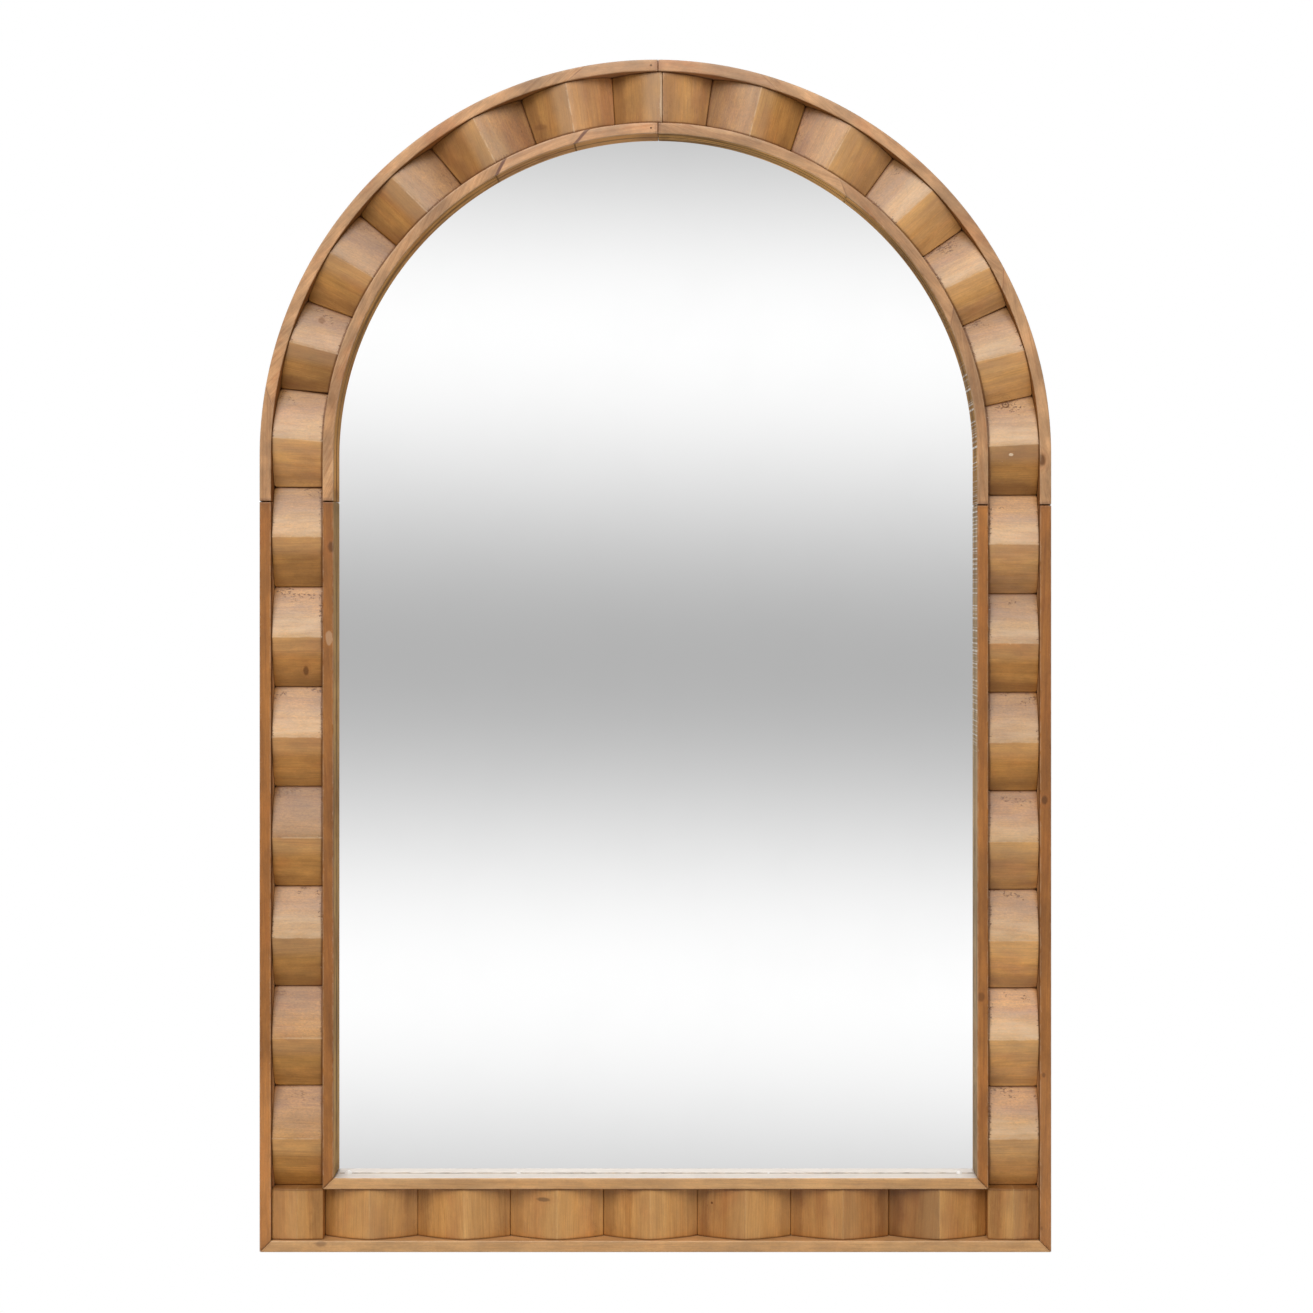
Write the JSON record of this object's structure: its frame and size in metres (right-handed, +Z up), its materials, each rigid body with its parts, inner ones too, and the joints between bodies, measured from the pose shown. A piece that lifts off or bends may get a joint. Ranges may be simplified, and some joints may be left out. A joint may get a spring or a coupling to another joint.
{
  "type": "arched wall mirror",
  "caption": "Arched wall mirror with a wooden frame of gable-topped blocks set crosswise between two slim bent rails, with strap hangers behind.",
  "frame": {"origin": "centre of the underside of the bottom outer rail", "axes": "+Z up towards the arch's apex, +X to the viewer's right, -Y out of the mirror's face, +Y towards the wall"},
  "size_m": [0.792, 0.0428, 1.193],
  "materials": {
    "outer_rail_wood": "waxed, satin",
    "inner_rail_wood": "waxed, satin",
    "block_wood": "waxed, satin",
    "plywood": "raw, matt",
    "hardboard": "raw, matt",
    "mirror": "silvered, polished",
    "zinc_steel": "zinc plated",
    "ring_steel": "zinc plated wire",
    "screw_steel": "zinc plated",
    "brad_steel": "dull",
    "rubber": "clear matt"
  },
  "bodies": {
    "frame": {"backing_board": "hardboard", "base_bottom": "plywood", "base_left": "plywood", "base_right": "plywood", "block_apex_left": "block_wood", "block_apex_right": "block_wood", "block_arch_left_1": "block_wood", "block_arch_left_2": "block_wood", "block_arch_left_3": "block_wood", "block_arch_left_4": "block_wood", "block_arch_left_5": "block_wood", "block_arch_left_6": "block_wood", "block_arch_right_1": "block_wood", "block_arch_right_2": "block_wood", "block_arch_right_3": "block_wood", "block_arch_right_4": "block_wood", "block_arch_right_5": "block_wood", "block_arch_right_6": "block_wood", "block_bottom_1": "block_wood", "block_bottom_2": "block_wood", "block_bottom_3": "block_wood", "block_bottom_4": "block_wood", "block_bottom_5": "block_wood", "block_bottom_6": "block_wood", "block_bottom_7": "block_wood", "block_corner_left": "block_wood", "block_corner_right": "block_wood", "block_leg_left_1": "block_wood", "block_leg_left_2": "block_wood", "block_leg_left_3": "block_wood", "block_leg_left_4": "block_wood", "block_leg_left_5": "block_wood", "block_leg_left_6": "block_wood", "block_leg_left_7": "block_wood", "block_leg_right_1": "block_wood", "block_leg_right_2": "block_wood", "block_leg_right_3": "block_wood", "block_leg_right_4": "block_wood", "block_leg_right_5": "block_wood", "block_leg_right_6": "block_wood", "block_leg_right_7": "block_wood", "glazing_points": "zinc_steel", "hanger_screws": "screw_steel", "hanger_strap_left": "zinc_steel", "hanger_strap_right": "zinc_steel", "inner_rail_arch_left": "inner_rail_wood", "inner_rail_arch_right": "inner_rail_wood", "inner_rail_bottom": "inner_rail_wood", "inner_rail_side_left": "inner_rail_wood", "inner_rail_side_right": "inner_rail_wood", "mirror_glass": "mirror", "outer_rail_arch_left": "outer_rail_wood", "outer_rail_arch_right": "outer_rail_wood", "outer_rail_bottom": "outer_rail_wood", "outer_rail_side_left": "outer_rail_wood", "outer_rail_side_right": "outer_rail_wood", "rail_brads": "brad_steel", "wall_bumpers": "rubber"},
    "ring_left": {"hang_ring_left": "ring_steel"},
    "ring_right": {"hang_ring_right": "ring_steel"}
  },
  "joints": [
    {"name": "ring_left_turn", "type": "hinge", "parent": "frame", "child": "ring_left", "pos_m": [-0.35875, 0.02138, 0.777], "axis": [-1, 0, 0], "range_deg": [0, 174]},
    {"name": "ring_right_turn", "type": "hinge", "parent": "frame", "child": "ring_right", "pos_m": [0.35875, 0.02138, 0.777], "axis": [-1, 0, 0], "range_deg": [0, 174]}
  ]
}
